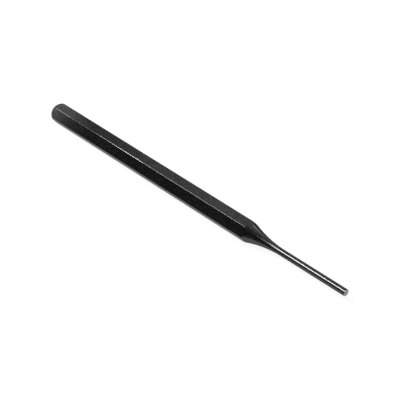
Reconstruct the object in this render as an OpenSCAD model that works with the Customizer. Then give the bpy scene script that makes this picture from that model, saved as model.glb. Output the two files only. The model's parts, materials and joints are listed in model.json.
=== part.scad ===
// Pin punch in one piece: a hexagon bar with a crowned head for the hammer, turned down at
// the other end through a long concave taper to a slender round pin that drives pins out.
// Lengths are in millimetres. The punch lies on one flat of the bar, with its axis along X
// and the pin towards +X. The origin is on that flat, halfway along the length.

/* [Hexagon bar] */
// Length over all, from the struck face to the tip
overall_length = 200; // [150:1:250]
// Width of the bar across its flats
across_flats = 10; // [7:0.5:14]
// Rounding on the six long edges of the bar
edge_radius = 0.3; // [0.1:0.05:0.8]

/* [Struck head] */
// How far the crown runs back along the bar from the struck face
crown_length = 4.4; // [2.6:0.1:8]
// How far the rim of the struck face stands in from the corners of the bar
crown_inset = 2.4; // [0.8:0.1:2.6]

/* [Taper] */
// Length of the concave taper, from the corners of the bar to the pin
taper_length = 22; // [12:0.5:40]

/* [Drive pin] */
// Diameter of the pin
pin_diameter = 3.5; // [2:0.1:6]
// Length of the parallel pin, with its tip
pin_length = 38; // [15:1:60]
// Edge break round the tip
tip_chamfer = 0.25; // [0.1:0.05:0.6]

/* [Hidden] */

// Sides of the bar, and the angle from a flat's middle to its corner
bar_sides = 6;
half_side_angle = 180 / bar_sides;
// Steps round a full turn: the turned surfaces, and the large arcs that shape them
turn_steps = 144;
arc_steps = 720;
// How far the turned form stands clear of the bar that it trims
overrun = 1;

// Radius of the circle through the bar's corners, as if they were sharp
corner_reach = across_flats / 2 / cos(half_side_angle);
blank_reach = corner_reach + overrun;
pin_radius = pin_diameter / 2;

// Stations along the axis, from the struck face
taper_end = overall_length - pin_length;
taper_start = taper_end - taper_length;

// Each arc leaves its straight neighbour tangent to it: the crown leaves the corners of the
// bar, and the taper leaves the pin. The rise over the arc's length then gives its radius.
function tangent_arc(length, rise) = (length * length + rise * rise) / (2 * rise);
crown_arc = tangent_arc(crown_length, crown_inset);
taper_arc = tangent_arc(taper_length, corner_reach - pin_radius);

// Cross section of the bar: flats joined by roundings, with one flat square to X
module bar_section() {
    rounding_reach = corner_reach - edge_radius / cos(half_side_angle);
    corner_angles = [for (i = [0 : bar_sides - 1]) (2 * i + 1) * half_side_angle];
    polygon([
        for (corner = corner_angles, side = [-half_side_angle, half_side_angle])
            rounding_reach * [cos(corner), sin(corner)]
                + edge_radius * [cos(corner + side), sin(corner + side)]
    ]);
    for (corner = corner_angles)
        rotate(corner) translate([rounding_reach, 0]) circle(r = edge_radius, $fn = turn_steps);
}

module hexagon_bar() {
    linear_extrude(overall_length) bar_section();
}

// Half outlines for the lathe, with the radius along X and the axis along Y
module crown_outline() {
    square([corner_reach - crown_inset, crown_length]);
    intersection() {
        square([blank_reach, crown_length]);
        translate([corner_reach - crown_arc, crown_length]) circle(r = crown_arc, $fn = arc_steps);
    }
}

module shank_outline() {
    translate([0, crown_length]) square([blank_reach, taper_start - crown_length]);
}

module taper_outline() {
    difference() {
        translate([0, taper_start]) square([corner_reach, taper_length]);
        translate([pin_radius + taper_arc, taper_end]) circle(r = taper_arc, $fn = arc_steps);
    }
}

module pin_outline() {
    translate([0, taper_end]) polygon([
        [0, 0],
        [pin_radius, 0],
        [pin_radius, pin_length - tip_chamfer],
        [pin_radius - tip_chamfer, pin_length],
        [0, pin_length],
    ]);
}

module turned_form() {
    rotate_extrude($fn = turn_steps) {
        crown_outline();
        shank_outline();
        taper_outline();
        pin_outline();
    }
}

// Lays a piece that stands on its struck face down on one flat
module lay_on_flat() {
    translate([-overall_length / 2, 0, across_flats / 2]) rotate([0, 90, 0]) children();
}

module punch() {
    color("dimgray") lay_on_flat() intersection() {
        hexagon_bar();
        turned_form();
    }
}

punch();
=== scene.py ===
"""Looks of a one-piece pin punch: a blackened hexagon bar, crowned at the head and turned to a pin.

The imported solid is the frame. The punch is modelled again here with softened edges, in the same
place and at the same size, and stands for the solid. Lengths are in metres, angles in radians.
"""

import json
import logging
import math
from dataclasses import dataclass, field
from enum import Enum

import bpy
from mathutils import Euler, Matrix, Vector


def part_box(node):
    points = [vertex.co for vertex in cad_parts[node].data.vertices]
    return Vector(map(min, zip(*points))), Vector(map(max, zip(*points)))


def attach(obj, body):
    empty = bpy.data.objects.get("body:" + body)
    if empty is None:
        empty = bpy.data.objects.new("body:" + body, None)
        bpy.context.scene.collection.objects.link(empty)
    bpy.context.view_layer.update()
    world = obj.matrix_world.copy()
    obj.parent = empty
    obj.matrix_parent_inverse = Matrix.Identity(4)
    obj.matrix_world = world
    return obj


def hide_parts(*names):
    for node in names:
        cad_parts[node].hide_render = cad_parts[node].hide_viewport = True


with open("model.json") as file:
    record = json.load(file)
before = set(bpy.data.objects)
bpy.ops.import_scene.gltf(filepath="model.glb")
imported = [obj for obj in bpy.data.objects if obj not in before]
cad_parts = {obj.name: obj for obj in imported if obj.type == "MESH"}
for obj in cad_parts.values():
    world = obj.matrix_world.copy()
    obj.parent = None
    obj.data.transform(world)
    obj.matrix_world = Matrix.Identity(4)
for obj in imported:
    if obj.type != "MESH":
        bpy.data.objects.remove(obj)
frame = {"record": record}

MM = 0.001
SIXTH = math.pi / 3
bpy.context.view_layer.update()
log = logging.getLogger("pin_punch")

Socket = bpy.types.NodeSocket
Feed = Socket | float
Band = tuple[float, float]


class Mode(Enum):
    """Whether a mesh is being shaped or handled whole."""

    EDIT = "EDIT"
    OBJECT = "OBJECT"

    def enter(self) -> None:
        """Puts the active object in this mode."""
        bpy.ops.object.mode_set(mode=self.value)


class Lie(Enum):
    """How a soft light is turned: level with the floor, or with its width along the punch."""

    LEVEL = "level"
    ALONG_PUNCH = "along the punch"

    def turn(self, towards: Vector) -> Euler:
        """Turns a light to face the punch.

        Args:
            towards: Direction from the punch to the light.

        Returns:
            The light's rotation.
        """
        if self is Lie.LEVEL:
            return (-towards).to_track_quat("-Z", "Y").to_euler()
        width = Vector((1, 0, 0))
        width = (width - towards * width.dot(towards)).normalized()
        return Matrix((width, towards.cross(width), towards)).transposed().to_euler()


class Op(Enum):
    """Sums that the finishes are worked out with."""

    ADD = "ADD"
    MULTIPLY = "MULTIPLY"
    MULTIPLY_ADD = "MULTIPLY_ADD"
    MAXIMUM = "MAXIMUM"
    ABSOLUTE = "ABSOLUTE"
    ROOT = "SQRT"


def select_only(obj: bpy.types.Object) -> None:
    """Deselects everything, then selects one object and makes it active.

    Args:
        obj: The object that the next operators act on.
    """
    bpy.ops.object.select_all(action="DESELECT")
    obj.select_set(True)
    bpy.context.view_layer.objects.active = obj


def settle(obj: bpy.types.Object) -> None:
    """Moves an object's place into its mesh, so that the object sits at the origin.

    Args:
        obj: The object, which may be turned and scaled.
    """
    select_only(obj)
    bpy.ops.object.transform_apply(location=True, rotation=True, scale=True)


def facing(azimuth: float, elevation: float) -> Vector:
    """Direction from the punch towards something that stands round it.

    Args:
        azimuth: Turn from the front of the punch towards its tip.
        elevation: Height over the floor, as an angle.

    Returns:
        The direction, of length one.
    """
    level = math.cos(elevation)
    return Vector((level * math.sin(azimuth), -level * math.cos(azimuth), math.sin(elevation)))


def tangent_arc(length: float, rise: float) -> float:
    """Radius of an arc that leaves a straight line tangent to it.

    Args:
        length: How far the arc runs along the line.
        rise: How far it has left the line by then.

    Returns:
        The arc's radius.
    """
    return (length * length + rise * rise) / (2 * rise)


@dataclass
class PunchSizes:
    """Sizes of the punch: those that the frame states, and the small ones that it doesn't."""

    length: float
    across_flats: float
    pin_radius: float
    edge_radius: float = 0.3 * MM
    crown_length: float = 4.4 * MM
    crown_inset: float = 2.4 * MM
    rim_softening: float = 0.35 * MM
    edge_softening: float = 0.3 * MM
    taper_length: float = 22.0 * MM
    pin_length: float = 38.0 * MM
    tip_chamfer: float = 0.25 * MM

    @classmethod
    def from_frame(cls, node: str, pin_mount: str) -> "PunchSizes":
        """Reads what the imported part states.

        Args:
            node: The solid that the punch stands for.
            pin_mount: The mount that gives the pin's radius.

        Returns:
            The sizes of the punch.
        """
        low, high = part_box(node)
        mounts = {mount["name"]: mount for mount in frame["record"]["mounts"]}
        return cls(
            length=high.x - low.x,
            across_flats=high.z - low.z,
            pin_radius=mounts[pin_mount]["dims"]["r_mm"] * MM,
        )

    @property
    def corner_reach(self) -> float:
        """Radius of the circle through the bar's corners, as if they were sharp."""
        return self.across_flats / 2 / math.cos(SIXTH / 2)

    @property
    def axis_height(self) -> float:
        """Height of the punch's axis over the flat that it lies on."""
        return self.across_flats / 2

    @property
    def head_end(self) -> float:
        """Place of the struck face along the axis."""
        return -self.length / 2

    @property
    def tip_end(self) -> float:
        """Place of the tip along the axis."""
        return self.length / 2

    @property
    def taper_start(self) -> float:
        """Place along the axis where the taper leaves the bar's corners."""
        return self.taper_end - self.taper_length

    @property
    def taper_end(self) -> float:
        """Place along the axis where the taper has become the pin."""
        return self.tip_end - self.pin_length


@dataclass
class Web:
    """A material's node web, with the few kinds of node that the finishes use."""

    tree: bpy.types.NodeTree

    def node(self, kind: str) -> bpy.types.Node:
        """Adds a node of one kind."""
        return self.tree.nodes.new(kind)

    def feed(self, target: Socket, source: Feed) -> None:
        """Links a socket to another, or sets it to a number.

        Args:
            target: The socket that takes the value.
            source: Another node's socket, or the number itself.
        """
        if isinstance(source, bpy.types.NodeSocket):
            self.tree.links.new(source, target)
        else:
            target.default_value = source

    def sum(self, op: Op, *terms: Feed) -> Socket:
        """Works out one sum.

        Args:
            op: The sum.
            terms: What it is worked out from, in order.

        Returns:
            The result.
        """
        node = self.node("ShaderNodeMath")
        node.operation = op.value
        for target, term in zip(node.inputs, terms):
            self.feed(target, term)
        return node.outputs[0]

    def fade(self, value: Feed, low: float, high: float, start: float = 0, end: float = 1) -> Socket:
        """Goes smoothly from one number to another as a value rises.

        Args:
            value: The value.
            low: Where the change begins.
            high: Where it is done.
            start: The number before the change.
            end: The number after it.

        Returns:
            The number.
        """
        node = self.node("ShaderNodeMapRange")
        node.interpolation_type = "SMOOTHSTEP"
        for name, number in zip(("From Min", "From Max", "To Min", "To Max"), (low, high, start, end)):
            node.inputs[name].default_value = number
        self.feed(node.inputs["Value"], value)
        return node.outputs[0]

    def noise(self, place: Socket, scale: float, detail: float = 2.0) -> Socket:
        """Makes a cloudy pattern.

        Args:
            place: Where on the piece, in pattern units.
            scale: How many clouds there are to one unit.
            detail: How many finer patterns lie over it.

        Returns:
            Numbers round one half.
        """
        node = self.node("ShaderNodeTexNoise")
        node.inputs["Scale"].default_value = scale
        node.inputs["Detail"].default_value = detail
        self.feed(node.inputs["Vector"], place)
        return node.outputs["Fac"]

    def stretch(
        self,
        place: Socket,
        scale: tuple[float, float, float],
        shift: tuple[float, float, float] = (0.0, 0.0, 0.0),
    ) -> Socket:
        """Scales and then shifts places on a piece.

        Args:
            place: The places.
            scale: Scale along each axis.
            shift: Shift along each axis.

        Returns:
            The new places.
        """
        node = self.node("ShaderNodeMapping")
        node.inputs["Scale"].default_value = scale
        node.inputs["Location"].default_value = shift
        self.feed(node.inputs["Vector"], place)
        return node.outputs[0]

    def blend(self, share: Feed, first: Feed, second: Feed) -> Socket:
        """Mixes two numbers.

        Args:
            share: Share of the second number.
            first: The first number.
            second: The second number.

        Returns:
            The mixture.
        """
        node = self.node("ShaderNodeMix")
        for name, source in (("Factor", share), ("A", first), ("B", second)):
            self.feed(next(s for s in node.inputs if s.name == name and s.type == "VALUE"), source)
        return next(s for s in node.outputs if s.type == "VALUE")


@dataclass(frozen=True)
class FinishPlaces:
    """Where the finish changes: measures in millimetres, shares of each face, and patterns."""

    along: Socket
    up: Socket
    radius: Socket
    turned: Socket
    bare: Socket
    corners: Socket
    cloud: Socket
    specks: Socket
    patch: Socket
    grain: Socket
    rings: Socket


@dataclass(frozen=True)
class BlackOxide:
    """Satin black oxide over drawn and turned steel, thin on the corners and gone from the tip.

    Places and depths are in millimetres. A band is where a change begins and where it is done.
    """

    sizes: PunchSizes
    bar_level: float = 0.055
    turned_level: float = 0.075
    worn_level: float = 0.52
    tip_level: float = 0.31
    bar_roughness: float = 0.26
    turned_roughness: float = 0.24
    tip_roughness: float = 0.34
    corner_roughness: float = 0.45
    roughness_spread: float = 0.025
    grazing_tint: float = 0.5
    mottle: float = 0.5
    speckle: float = 2.4
    patch_shade: float = 0.1
    patch_wear: float = 0.8
    turned_calm: float = 0.65
    grain_depth: float = 1.2e-6
    head_wear_to: float = -82.0
    grip_wear_from: float = -66.0
    grip_wear_full: float = -38.0
    grip_wear_to: float = -27.0
    head_fade: float = 3.0
    grip_fade: float = 5.0
    head_wear: float = 0.22
    # Share of the corner lightening kept at and below the axis, so the corners are darker towards the
    # bottom.
    low_corner_share: float = 0.2
    thin_wear: float = 0.19
    turned_depths: Band = (0.10, 0.045)
    corner_depths: Band = (0.12, 0.06)
    worn_depths: Band = (0.07, 0.052)
    bare_band: Band = (-0.05, 0.03)
    low_corner_band: Band = (0.5, 3.5)
    cloud_band: Band = (0.3, 0.7)
    patch_wear_band: Band = (0.3, 0.6)
    cloud_scale: float = 0.9
    speck_scale: float = 1.9
    patch_scale: float = 0.12
    grain_scales: tuple[float, float, float] = (0.025, 2.6, 2.6)
    ring_scales: tuple[float, float, float] = (3.2, 0.05, 0.05)

    def hexagon_reach(self, web: Web, y: Socket, z: Socket) -> Socket:
        """How far out a place lies towards the nearest flat, in millimetres.

        Args:
            web: The finish's node web.
            y: Places across the punch.
            z: Places up the punch, from its axis.

        Returns:
            The distance along the flat's normal.
        """
        slant = web.sum(Op.MULTIPLY, y, math.cos(SIXTH / 2))
        over = web.sum(Op.ABSOLUTE, web.sum(Op.MULTIPLY_ADD, z, math.sin(SIXTH / 2), slant))
        under = web.sum(Op.ABSOLUTE, web.sum(Op.MULTIPLY_ADD, z, -math.sin(SIXTH / 2), slant))
        return web.sum(Op.MAXIMUM, web.sum(Op.MAXIMUM, over, under), web.sum(Op.ABSOLUTE, z))

    def places(self, web: Web) -> FinishPlaces:
        """Finds each kind of face, and lays the patterns over the punch.

        Args:
            web: The finish's node web.

        Returns:
            What the levels, the roughness and the relief are worked out from.
        """
        size = self.sizes
        flat = size.across_flats / 2 / MM
        corner = size.corner_reach / MM
        tip = (size.tip_end - size.tip_chamfer) / MM
        place = web.stretch(
            web.node("ShaderNodeTexCoord").outputs["Object"],
            (1 / MM, 1 / MM, 1 / MM),
            (0, 0, -size.axis_height / MM),
        )
        split = web.node("ShaderNodeSeparateXYZ")
        web.feed(split.inputs[0], place)
        x, y, z = split.outputs
        radius = web.sum(Op.ROOT, web.sum(Op.MULTIPLY_ADD, y, y, web.sum(Op.MULTIPLY, z, z)))
        turned_from, turned_to = self.turned_depths
        corner_from, corner_to = self.corner_depths
        bare_from, bare_to = self.bare_band
        return FinishPlaces(
            along=x,
            up=z,
            radius=radius,
            turned=web.fade(self.hexagon_reach(web, y, z), flat - turned_from, flat - turned_to, 1, 0),
            bare=web.fade(x, tip + bare_from, tip + bare_to),
            corners=web.fade(radius, corner - corner_from, corner - corner_to),
            cloud=web.noise(place, self.cloud_scale, 3),
            specks=web.noise(place, self.speck_scale, 1),
            patch=web.noise(place, self.patch_scale),
            grain=web.noise(web.stretch(place, self.grain_scales), 1.0),
            rings=web.noise(web.stretch(place, self.ring_scales), 1.0),
        )

    def wear(self, web: Web, at: FinishPlaces) -> Socket:
        """Works out how far the oxide is worn off: at the head, at the grip and thinly from there on. The
        corners at and below the axis get only a small share of it, so the corners are darker towards the
        bottom.

        Args:
            web: The finish's node web.
            at: Where the finish changes.

        Returns:
            One where the steel is bare, on the corners alone.
        """
        corner = self.sizes.corner_reach / MM
        worn_from, worn_to = self.worn_depths
        grip = web.sum(
            Op.MULTIPLY,
            web.fade(at.along, self.grip_wear_from, self.grip_wear_full),
            web.fade(at.along, self.grip_wear_to - self.grip_fade, self.grip_wear_to, 1, 0),
        )
        head = web.fade(at.along, self.head_wear_to - self.head_fade, self.head_wear_to, self.head_wear, 0)
        thin_from = self.grip_wear_from - self.grip_fade
        thin_full = self.grip_wear_from + self.grip_fade
        thin = web.fade(at.along, thin_from, thin_full, 0, self.thin_wear)
        worn = web.sum(Op.MAXIMUM, web.sum(Op.MAXIMUM, grip, head), thin)
        worn = web.sum(Op.MULTIPLY, worn, web.fade(at.patch, *self.patch_wear_band, self.patch_wear, 1))
        worn = web.sum(Op.MULTIPLY, worn, web.fade(at.radius, corner - worn_from, corner - worn_to))
        # The corners at and below the axis keep only a small share of this lightening, so the corners are
        # darker towards the bottom.
        return web.sum(Op.MULTIPLY, worn, web.fade(at.up, *self.low_corner_band, self.low_corner_share, 1))

    def level(self, web: Web, at: FinishPlaces) -> Socket:
        """Works out how light the finish is.

        Args:
            web: The finish's node web.
            at: Where the finish changes.

        Returns:
            The grey level.
        """
        uneven = web.sum(Op.MULTIPLY_ADD, at.cloud, self.mottle, 1 - self.mottle / 2)
        specked = web.sum(Op.MULTIPLY_ADD, at.specks, self.speckle, 1 - self.speckle / 2)
        uneven = web.sum(Op.MULTIPLY, uneven, specked)
        shade = web.fade(at.patch, *self.cloud_band, 1 - self.patch_shade, 1 + self.patch_shade)
        uneven = web.sum(Op.MULTIPLY, uneven, shade)
        calm = web.sum(Op.MAXIMUM, at.corners, web.sum(Op.MULTIPLY, at.turned, self.turned_calm))
        level = web.blend(at.turned, self.bar_level, self.turned_level)
        level = web.sum(Op.MULTIPLY, level, web.blend(calm, uneven, 1.0))
        level = web.blend(self.wear(web, at), level, self.worn_level)
        return web.blend(at.bare, level, self.tip_level)

    def roughness(self, web: Web, at: FinishPlaces) -> Socket:
        """Works out how rough the finish is.

        Args:
            web: The finish's node web.
            at: Where the finish changes.

        Returns:
            The roughness.
        """
        spread = self.roughness_spread
        rough = web.blend(at.turned, self.bar_roughness, self.turned_roughness)
        rough = web.sum(Op.ADD, rough, web.fade(at.cloud, *self.cloud_band, -spread, spread))
        rough = web.blend(at.corners, rough, self.corner_roughness)
        return web.blend(at.bare, rough, self.tip_roughness)

    def relief(self, web: Web, at: FinishPlaces) -> Socket:
        """Makes the drawn grain of the flats and the rings of the turned faces.

        Args:
            web: The finish's node web.
            at: Where the finish changes.

        Returns:
            The faces' normals.
        """
        bump = web.node("ShaderNodeBump")
        web.feed(bump.inputs["Strength"], 1.0)
        web.feed(bump.inputs["Distance"], self.grain_depth)
        marks = web.blend(at.turned, at.grain, at.rings)
        web.feed(bump.inputs["Height"], web.blend(at.corners, marks, 0.5))
        return bump.outputs[0]

    def material(self) -> bpy.types.Material:
        """Makes the finish.

        Returns:
            The material.
        """
        made = bpy.data.materials.new("black_oxide_finish")
        made.use_nodes = True
        web = Web(made.node_tree)
        shader = made.node_tree.nodes["Principled BSDF"]
        at = self.places(web)
        paint = web.node("ShaderNodeCombineColor")
        grey = self.level(web, at)
        for channel in paint.inputs:
            web.feed(channel, grey)
        web.feed(shader.inputs["Base Color"], paint.outputs[0])
        web.feed(shader.inputs["Metallic"], 1.0)
        web.feed(shader.inputs["Roughness"], self.roughness(web, at))
        web.feed(shader.inputs["Normal"], self.relief(web, at))
        shader.inputs["Specular Tint"].default_value = (*[self.grazing_tint] * 3, 1)
        return made


@dataclass(frozen=True)
class BarSection:
    """Section of the hexagon bar, in columns that crowd together round its corners."""

    across_flats: float
    edge_radius: float
    corner_columns: int = 8
    flat_columns: int = 16

    @property
    def side_columns(self) -> int:
        """Columns from the middle of one flat to the middle of the next."""
        return self.corner_columns + self.flat_columns

    def place(self, turn: float) -> tuple[float, float]:
        """Finds where a column runs along the bar.

        Args:
            turn: Where the column would run if all were evenly spaced, as an angle from a corner.

        Returns:
            The angle at which it runs, and the bar's radius there.
        """
        corner = round(turn / SIXTH)
        step = round((turn / SIXTH - corner) * self.side_columns)
        past_corner = abs(step) - self.corner_columns / 2
        half_flat = self.across_flats / 2
        inner = half_flat - self.edge_radius
        if past_corner < 0:
            roll = SIXTH * abs(step) / self.corner_columns
            out = inner / math.cos(SIXTH / 2) + self.edge_radius * math.cos(roll)
            across = self.edge_radius * math.sin(roll)
            lean = math.atan2(across, out)
        else:
            out = half_flat
            across = inner * math.tan(SIXTH / 2) * (1 - 2 * past_corner / self.flat_columns)
            lean = SIXTH / 2 - math.atan2(across, out)
        return corner * SIXTH + math.copysign(lean, step), math.hypot(out, across)


@dataclass(frozen=True)
class Ring:
    """One ring of the punch's skin, with what the turned form leaves of the bar there."""

    along: float
    turned: float = math.inf
    blend: float = 0.0

    def trim(self, bar: float) -> float:
        """Takes the bar in to the turned form, rounding over the edge between them.

        Args:
            bar: The bar's own radius.

        Returns:
            The radius of the punch.
        """
        radius = min(bar, self.turned)
        overlap = self.blend - abs(bar - self.turned)
        if overlap > 0:
            radius -= overlap * overlap / (4 * self.blend)
        return radius


@dataclass
class PunchBody:
    """The punch itself: a hexagon bar, turned to a crown at the head and to a pin at the tip."""

    sizes: PunchSizes
    rim_steps: int = 5
    crown_steps: int = 30
    bar_steps: int = 12
    lead_steps: int = 4
    taper_steps: int = 100
    pin_steps: int = 8
    smooth_angle: float = math.radians(30)
    face_weight: int = 100

    def head_rings(self) -> list[Ring]:
        """Rings from the struck face, over its softened rim and along the crown.

        Returns:
            The rings, which end where the corners reach their full height.
        """
        s = self.sizes
        arc = tangent_arc(s.crown_length, s.crown_inset)
        arc_end = s.head_end + s.crown_length
        face_turn = math.asin(s.crown_length / arc)
        crown: list[Ring] = []
        for step in range(self.crown_steps + 1):
            turn = (face_turn - s.rim_softening / arc) * (1 - step / self.crown_steps)
            radius = s.corner_reach - arc * (1 - math.cos(turn))
            crown.append(Ring(arc_end - arc * math.sin(turn), radius, s.edge_softening * math.tan(turn)))
        face = s.corner_reach - s.crown_inset
        rim: list[Ring] = []
        for step in range(self.rim_steps):
            share = step / self.rim_steps
            along = s.head_end + (crown[0].along - s.head_end) * share**2
            inner = (face - s.rim_softening) * (1 - share) ** 2
            rim.append(Ring(along, inner + 2 * face * share * (1 - share) + crown[0].turned * share**2))
        return rim + crown

    def bar_rings(self) -> list[Ring]:
        """Rings of the bar between its crown and its taper.

        Returns:
            The rings, without the ends.
        """
        s = self.sizes
        start = s.head_end + s.crown_length
        run = s.taper_start - s.edge_softening - start
        return [Ring(start + run * step / self.bar_steps) for step in range(1, self.bar_steps)]

    def tip_rings(self) -> list[Ring]:
        """Rings of the taper and the pin.

        Returns:
            The rings, from just before the taper to the tip.
        """
        s = self.sizes
        arc = tangent_arc(s.taper_length, s.corner_reach - s.pin_radius)
        start_turn = math.asin(s.taper_length / arc)
        rings: list[Ring] = []
        for step in range(self.lead_steps):
            before = s.edge_softening * (1 - step / self.lead_steps)
            slope = math.tan(start_turn)
            radius = s.corner_reach + before * slope
            rings.append(Ring(s.taper_start - before, radius, s.edge_softening * slope))
        for step in range(self.taper_steps + 1):
            turn = start_turn * (1 - step / self.taper_steps)
            radius = s.pin_radius + arc * (1 - math.cos(turn))
            rings.append(Ring(s.taper_end - arc * math.sin(turn), radius, s.edge_softening * math.tan(turn)))
        wall = s.pin_length - s.tip_chamfer
        for step in range(1, self.pin_steps + 1):
            rings.append(Ring(s.taper_end + wall * step / self.pin_steps, s.pin_radius))
        rings.append(Ring(s.tip_end, s.pin_radius - s.tip_chamfer))
        return rings

    def skin(self, rings: list[Ring], section: BarSection) -> bpy.types.Object:
        """Extrudes a ring along the axis, closes its ends and draws each ring in to its shape.

        Args:
            rings: The rings, from the struck face to the tip.
            section: The bar's section.

        Returns:
            The closed mesh.
        """
        s = self.sizes
        columns = 6 * section.side_columns
        bpy.ops.object.select_all(action="DESELECT")
        bpy.ops.mesh.primitive_circle_add(
            vertices=columns,
            radius=s.corner_reach,
            location=(rings[0].along, 0, s.axis_height),
            rotation=(0, math.pi / 2, 0),
        )
        punch = bpy.context.active_object
        settle(punch)
        Mode.EDIT.enter()
        bpy.ops.mesh.select_mode(type="EDGE")
        bpy.ops.mesh.select_all(action="SELECT")
        for ring, following in zip(rings, rings[1:]):
            step = (following.along - ring.along, 0, 0)
            bpy.ops.mesh.extrude_region_move(TRANSFORM_OT_translate={"value": step})
        bpy.ops.mesh.select_all(action="SELECT")
        bpy.ops.mesh.fill_holes(sides=0)
        bpy.ops.mesh.select_all(action="SELECT")
        bpy.ops.mesh.normals_make_consistent(inside=False)
        Mode.OBJECT.enter()
        for point in punch.data.vertices:
            ring = rings[point.index // columns]
            turn, bar = section.place(math.atan2(point.co.z - s.axis_height, point.co.y))
            radius = ring.trim(bar)
            point.co = (ring.along, radius * math.cos(turn), s.axis_height + radius * math.sin(turn))
        return punch

    def build(self) -> bpy.types.Object:
        """Makes the punch and smooths it.

        Returns:
            The finished punch.
        """
        s = self.sizes
        rings = self.head_rings() + self.bar_rings() + self.tip_rings()
        punch = self.skin(rings, BarSection(s.across_flats, s.edge_radius))
        punch.name = "punch_body"
        select_only(punch)
        bpy.ops.object.shade_smooth_by_angle(angle=self.smooth_angle)
        even = punch.modifiers.new("even_normals", "WEIGHTED_NORMAL")
        even.weight = self.face_weight
        even.keep_sharp = True
        bpy.ops.object.modifier_apply(modifier=even.name)
        return punch

    def dress(self, punch: bpy.types.Object) -> None:
        """Gives the punch its finish and tells the frame what it stands for.

        Args:
            punch: The finished punch.
        """
        punch.data.materials.clear()
        punch.data.materials.append(BlackOxide(self.sizes).material())
        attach(punch, "root")
        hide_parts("punch")


@dataclass(frozen=True)
class SoftBox:
    """A soft light that faces the punch. Its azimuth and elevation are in degrees."""

    name: str
    azimuth: float
    elevation: float
    width: float
    height: float
    radiance: float
    lie: Lie = Lie.LEVEL
    distance: float = 2.5
    watts_per_radiance: float = 4.0

    def build(self) -> bpy.types.Object:
        """Adds the light.

        Returns:
            The light.
        """
        data = bpy.data.lights.new(self.name, "AREA")
        data.shape = "RECTANGLE"
        data.size = self.width
        data.size_y = self.height
        data.energy = self.radiance * self.watts_per_radiance * self.width * self.height
        lamp = bpy.data.objects.new(self.name, data)
        bpy.context.scene.collection.objects.link(lamp)
        towards = facing(math.radians(self.azimuth), math.radians(self.elevation))
        lamp.location = towards * self.distance
        lamp.rotation_euler = self.lie.turn(towards)
        lamp.visible_camera = False
        return lamp


@dataclass(frozen=True)
class DarkCard:
    """A low grey card in front of the taper, which only its polish shows."""

    name: str = "dark_card"
    along: float = 47.0 * MM
    away: float = 20.0 * MM
    width: float = 24.0 * MM
    height: float = 14.0 * MM
    grey: float = 0.2
    roughness: float = 0.9

    def build(self) -> bpy.types.Object:
        """Stands the card on the floor, along the punch.

        Returns:
            The card, which isn't part of the punch.
        """
        bpy.ops.object.select_all(action="DESELECT")
        bpy.ops.mesh.primitive_plane_add(
            size=1,
            location=(self.along, -self.away, self.height / 2),
            rotation=(math.pi / 2, 0, 0),
        )
        card = bpy.context.active_object
        card.name = self.name
        card.scale = (self.width, self.height, 1)
        settle(card)
        matt = bpy.data.materials.new("card_grey")
        matt.use_nodes = True
        shader = matt.node_tree.nodes["Principled BSDF"]
        shader.inputs["Base Color"].default_value = (*[self.grey] * 3, 1)
        shader.inputs["Roughness"].default_value = self.roughness
        card.data.materials.append(matt)
        card.visible_camera = False
        card.visible_diffuse = False
        card.visible_shadow = False
        return card


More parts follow.
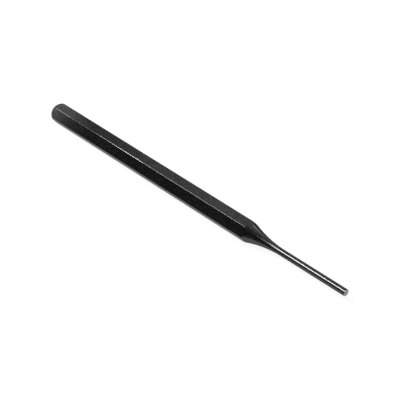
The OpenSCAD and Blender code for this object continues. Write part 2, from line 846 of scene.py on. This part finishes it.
@dataclass
class Studio:
    """White floor, soft lights and a dim room."""

    floor_radius: float = 12.0
    floor_sides: int = 96
    floor_drop: float = 0.02 * MM
    floor_grey: float = 0.9
    floor_glow_share: float = 0.9
    near_share: float = 0.6
    room_level: float = 0.02
    lights: list[SoftBox] = field(default_factory=lambda: [
        SoftBox("key_box", -54.6, 55.5, 1.02, 0.62, 23.0, Lie.ALONG_PUNCH),
        SoftBox("back_box", -155.5, 37.0, 1.9, 1.0, 0.88),
        SoftBox("rim_box", 178.0, 45.0, 0.7, 0.6, 1.5, Lie.LEVEL, 2.3),
        SoftBox("ceiling_box", -172.0, 68.0, 1.7, 1.2, 0.4, Lie.ALONG_PUNCH),
        SoftBox("taper_box", 105.0, 72.0, 0.9, 0.7, 1.3, Lie.ALONG_PUNCH),
        SoftBox("head_card", -86.3, 13.6, 0.108, 0.068, 1.08, Lie.LEVEL, 0.1443),
        SoftBox("front_glow", -37.0, 34.0, 0.9, 0.7, 0.4),
        SoftBox("right_front_fill", 62.0, 42.0, 1.1, 1.1, 4.0),
        SoftBox("right_back_fill", 125.0, 38.0, 1.1, 1.1, 4.0),
    ])

    def floor(self) -> bpy.types.Object:
        """Lays the floor.

        Returns:
            The floor, which isn't part of the punch.
        """
        bpy.ops.object.select_all(action="DESELECT")
        bpy.ops.mesh.primitive_circle_add(
            vertices=self.floor_sides,
            radius=self.floor_radius,
            fill_type="NGON",
            location=(0, 0, -self.floor_drop),
        )
        floor = bpy.context.active_object
        floor.name = "floor"
        settle(floor)
        floor.data.materials.append(self.white())
        return floor

    def white(self) -> bpy.types.Material:
        """Makes the floor's white, which keeps the punch's shadow and glows fully only far from it.

        Returns:
            The material.
        """
        white = bpy.data.materials.new("floor_white")
        white.use_nodes = True
        web = Web(white.node_tree)
        white.node_tree.nodes.clear()
        matt = web.node("ShaderNodeBsdfDiffuse")
        matt.inputs["Color"].default_value = (*[self.floor_grey] * 3, 1)
        glow = web.node("ShaderNodeEmission")
        mix = web.node("ShaderNodeMixShader")
        out = web.node("ShaderNodeOutputMaterial")
        near = web.node("ShaderNodeTexGradient")
        near.gradient_type = "SPHERICAL"
        web.feed(near.inputs[0], web.node("ShaderNodeTexCoord").outputs["Object"])
        share = web.fade(near.outputs["Fac"], 0, self.near_share, 1, self.floor_glow_share)
        web.feed(mix.inputs[0], web.sum(Op.MULTIPLY, self.looked_at(web), share))
        web.feed(mix.inputs[1], matt.outputs[0])
        web.feed(mix.inputs[2], glow.outputs[0])
        web.feed(out.inputs["Surface"], mix.outputs[0])
        return white

    @staticmethod
    def looked_at(web: Web) -> Socket:
        """Tells rays that look at something from rays that only carry light.

        Args:
            web: The node web.

        Returns:
            One for camera, glossy and transmission rays.
        """
        path = web.node("ShaderNodeLightPath").outputs
        either = web.sum(Op.MAXIMUM, path["Is Camera Ray"], path["Is Glossy Ray"])
        return web.sum(Op.MAXIMUM, either, path["Is Transmission Ray"])

    def room(self) -> None:
        """Sets the dim room round the floor, white where the camera looks past the floor."""
        world = bpy.data.worlds.new("studio_room")
        bpy.context.scene.world = world
        world.use_nodes = True
        web = Web(world.node_tree)
        dim = world.node_tree.nodes["Background"]
        dim.inputs["Color"].default_value = (1, 1, 1, 1)
        dim.inputs["Strength"].default_value = self.room_level
        bright = web.node("ShaderNodeBackground")
        bright.inputs["Color"].default_value = (1, 1, 1, 1)
        bright.inputs["Strength"].default_value = 1.0
        mix = web.node("ShaderNodeMixShader")
        web.feed(mix.inputs[0], web.node("ShaderNodeLightPath").outputs["Is Camera Ray"])
        web.feed(mix.inputs[1], dim.outputs[0])
        web.feed(mix.inputs[2], bright.outputs[0])
        web.feed(world.node_tree.nodes["World Output"].inputs["Surface"], mix.outputs[0])

    def build(self) -> None:
        """Builds the floor, the room and the lights."""
        self.floor()
        self.room()
        for light in self.lights:
            light.build()
        DarkCard().build()


@dataclass(frozen=True)
class PhotoCamera:
    """The photograph's viewpoint."""

    azimuth: float = math.radians(44.004)
    elevation: float = math.radians(40.563)
    aim: tuple[float, float, float] = (7.182 * MM, 0.606 * MM, 4.958 * MM)
    distance: float = 596.6 * MM
    lens: float = 108.773
    sensor: float = 36.0
    clip_start: float = 0.01
    clip_end: float = 100.0

    def build(self) -> bpy.types.Object:
        """Adds the camera and makes it the scene's own.

        Returns:
            The camera.
        """
        towards = facing(self.azimuth, self.elevation)
        data = bpy.data.cameras.new("photo_camera")
        data.lens = self.lens
        data.sensor_width = self.sensor
        data.clip_start = self.clip_start
        data.clip_end = self.clip_end
        camera = bpy.data.objects.new("photo_camera", data)
        bpy.context.scene.collection.objects.link(camera)
        camera.location = Vector(self.aim) + towards * self.distance
        camera.rotation_euler = (-towards).to_track_quat("-Z", "Y").to_euler()
        bpy.context.scene.camera = camera
        return camera


def main() -> None:
    """Builds the camera, the studio and the punch."""
    logging.basicConfig(level=logging.INFO)
    bpy.context.scene.view_settings.view_transform = "Standard"
    PhotoCamera().build()
    Studio().build()
    body = PunchBody(PunchSizes.from_frame("punch", "drive_pin"))
    punch = body.build()
    body.dress(punch)
    log.info("%s: %d faces", punch.name, len(punch.data.polygons))


if __name__ == "__main__":
    main()
